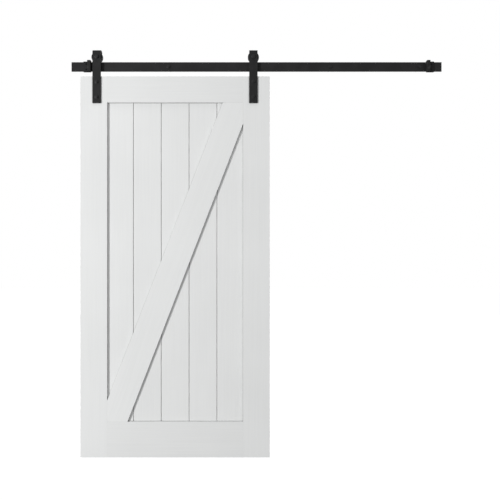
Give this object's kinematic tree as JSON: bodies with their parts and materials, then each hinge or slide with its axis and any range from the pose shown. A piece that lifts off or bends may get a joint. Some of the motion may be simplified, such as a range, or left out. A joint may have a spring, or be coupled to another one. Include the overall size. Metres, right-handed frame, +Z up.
{
  "type": "sliding barn door",
  "caption": "Framed plank door with a diagonal brace, hung by folded straps from grooved wheels that roll along a flat wall track between end stops.",
  "frame": {"origin": "on the wall plane, midway between the two outermost track bolts, at the height of the track's middle", "axes": "+X along the track to the right as seen from the room, +Y into the wall, +Z up"},
  "size_m": [2, 0.1084, 2.1962],
  "materials": {
    "painted_wood": "painted off-white, matt",
    "black_steel": "black powder coat, matt",
    "black_fastener": "black oxide, satin",
    "bush_steel": "ground",
    "black_nylon": "moulded, satin",
    "black_rubber": "moulded, matt"
  },
  "bodies": {
    "track": {"track_rail": "black_steel", "track_spacers": "black_steel", "track_bolts": "black_fastener", "left_stop_clamp": "black_steel", "right_stop_clamp": "black_steel", "left_stop_bumper": "black_rubber", "right_stop_bumper": "black_rubber"},
    "door": {"left_stile": "painted_wood", "right_stile": "painted_wood", "top_rail": "painted_wood", "bottom_rail": "painted_wood", "brace": "painted_wood", "plank_1": "painted_wood", "plank_2": "painted_wood", "plank_3": "painted_wood", "plank_4": "painted_wood", "plank_5": "painted_wood", "left_strap": "black_steel", "right_strap": "black_steel", "axle_bolts": "black_fastener", "axle_nuts": "black_fastener", "strap_bolts": "black_fastener", "strap_nuts": "black_fastener", "wheel_bearings": "bush_steel", "axle_bushes": "bush_steel"},
    "left_wheel": {"left_wheel": "black_nylon"},
    "right_wheel": {"right_wheel": "black_nylon"}
  },
  "joints": [
    {"name": "door_slide", "type": "slide", "parent": "track", "child": "door", "axis": [1, 0, 0], "range_m": [-0.0085, 0.9105]},
    {"name": "left_wheel_spin", "type": "hinge", "parent": "door", "child": "left_wheel", "pos_m": [-0.86102, -0.035, 0.0508], "axis": [0, 1, 0], "continuous": true},
    {"name": "right_wheel_spin", "type": "hinge", "parent": "door", "child": "right_wheel", "pos_m": [-0.01702, -0.035, 0.0508], "axis": [0, 1, 0], "continuous": true}
  ],
  "couplings": [
    {"joint": "left_wheel_spin", "follows": "door_slide", "rad_per_m": 39.216},
    {"joint": "right_wheel_spin", "follows": "door_slide", "rad_per_m": 39.216}
  ]
}
